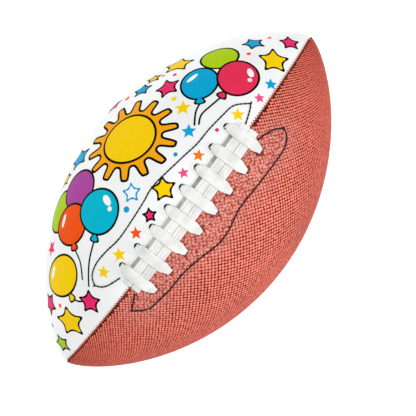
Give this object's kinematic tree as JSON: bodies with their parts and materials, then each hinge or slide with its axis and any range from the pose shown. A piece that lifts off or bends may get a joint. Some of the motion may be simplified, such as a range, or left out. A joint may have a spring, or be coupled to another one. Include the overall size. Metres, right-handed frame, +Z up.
{
  "type": "american football",
  "caption": "Junior-size American football with a half printed, half pebbled cover, an open lacing with flat cross laces over two strips, a rubber bladder and a pump valve.",
  "frame": {"origin": "under the middle of the ball, on the surface that it lies on", "axes": "+X along the ball from tip to tip, +Z up through the middle of the lacing, the printed half faces -Y and the pebbled half faces +Y"},
  "size_m": [0.26, 0.15, 0.1531],
  "materials": {
    "printed_cover": "smooth printed polyurethane film, satin",
    "pebbled_cover": "pebbled composite cover, semi-gloss",
    "white_lace": "flat vinyl thong with fine lengthwise grain",
    "lining_cloth": "woven cotton lining",
    "facing_fibre": "stiff bonded fibre strip",
    "black_thread": "waxed polyester thread",
    "bladder_rubber": "butyl rubber, matt",
    "valve_rubber": "moulded rubber, matt"
  },
  "bodies": {
    "root": {"panel_printed_lace_side": "printed_cover", "panel_printed_back": "printed_cover", "panel_pebbled_lace_side": "pebbled_cover", "panel_pebbled_back": "pebbled_cover", "lining_printed_lace_side": "lining_cloth", "lining_printed_back": "lining_cloth", "lining_pebbled_lace_side": "lining_cloth", "lining_pebbled_back": "lining_cloth", "lace_facing_printed": "facing_fibre", "lace_facing_pebbled": "facing_fibre", "facing_stitch_printed": "black_thread", "facing_stitch_pebbled": "black_thread", "lace_strip_printed": "white_lace", "lace_strip_pebbled": "white_lace", "lace_thong": "white_lace", "lace_guard": "lining_cloth", "seam_thread_lace_left": "black_thread", "seam_thread_lace_right": "black_thread", "seam_thread_printed_side": "black_thread", "seam_thread_pebbled_side": "black_thread", "seam_thread_back": "black_thread", "bladder": "bladder_rubber", "valve_patch": "bladder_rubber", "valve_stem": "valve_rubber", "valve_core": "valve_rubber"}
  },
  "joints": []
}
